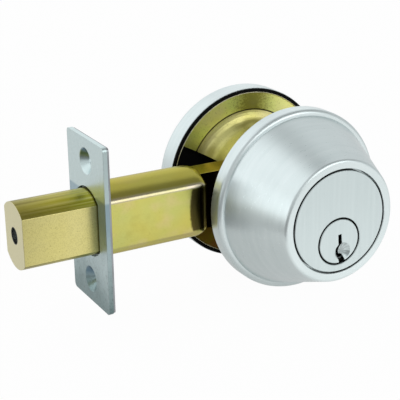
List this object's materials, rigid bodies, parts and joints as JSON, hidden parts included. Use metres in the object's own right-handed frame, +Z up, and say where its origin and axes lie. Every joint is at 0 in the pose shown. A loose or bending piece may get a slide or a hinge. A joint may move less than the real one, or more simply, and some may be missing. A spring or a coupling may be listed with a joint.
{
  "type": "deadbolt door lock",
  "caption": "Tubular door deadbolt: tapered keyed collar, brass bolt with faceplate and round case, yellow-zinc support housing, shallow inside rose and thumbturn.",
  "frame": {"origin": "where the axis of the door's cross bore meets the axis of the bolt", "axes": "+Z up; the cross bore runs along Y with the keyed side at -Y and the thumbturn at +Y; the bolt points to -X"},
  "size_m": [0.1271, 0.0858, 0.0636],
  "materials": {
    "satin_chrome": "satin chrome",
    "cylinder_chrome": "brass with a satin chrome face",
    "brass": "plain drawn brass",
    "yellow_zinc": "yellow zinc dichromate on stamped steel",
    "steel": "plain steel",
    "spring_steel": "spring steel",
    "black_rubber": "black rubber",
    "black_nylon": "black nylon"
  },
  "bodies": {
    "chassis": {"outer_collar": "satin_chrome", "guard_ring": "steel", "outer_plate": "yellow_zinc", "cylinder_body": "cylinder_chrome", "driver_pins": "brass", "pin_springs": "spring_steel", "pin_chamber_cover": "brass", "bolt_case": "yellow_zinc", "faceplate": "satin_chrome", "backing_plate": "yellow_zinc", "rear_case": "yellow_zinc", "rear_case_cover": "yellow_zinc", "case_rivets": "steel", "detent_spring": "spring_steel", "support_housing": "yellow_zinc", "support_ring": "yellow_zinc", "rose_gasket": "black_rubber", "mount_plate": "yellow_zinc", "mounting_screws": "steel", "inside_rose": "satin_chrome", "turn_bushing": "black_nylon", "rose_screws": "steel"},
    "bolt": {"deadbolt": "brass", "bolt_tail": "steel", "tail_rivet": "steel", "crank_pin": "steel"},
    "roller": {"bolt_roller": "steel"},
    "turn": {"drive_cam": "steel", "tailpiece": "steel", "thumbturn": "satin_chrome", "spring_washer": "spring_steel", "retaining_ring": "steel"},
    "plug": {"cylinder_plug": "cylinder_chrome", "key_pins": "brass", "plug_cap": "brass"}
  },
  "joints": [
    {"name": "bolt_throw", "type": "slide", "parent": "chassis", "child": "bolt", "axis": [1, 0, 0], "range_m": [0, 0.0254]},
    {"name": "thumbturn_turn", "type": "hinge", "parent": "chassis", "child": "turn", "pos_m": [0, 0, -0.00686], "axis": [0, 1, 0], "range_deg": [0, 90], "deforming": ["detent_spring"]},
    {"name": "plug_turn", "type": "hinge", "parent": "chassis", "child": "plug", "pos_m": [0, 0, -0.00686], "axis": [0, 1, 0], "range_deg": [0, 90]},
    {"name": "roller_spin", "type": "hinge", "parent": "bolt", "child": "roller", "pos_m": [-0.08, 0, 0], "axis": [1, 0, 0], "continuous": true}
  ],
  "couplings": [
    {"joint": "thumbturn_turn", "follows": "bolt_throw", "rad_per_m": 61.842},
    {"joint": "plug_turn", "follows": "bolt_throw", "rad_per_m": 61.842}
  ]
}
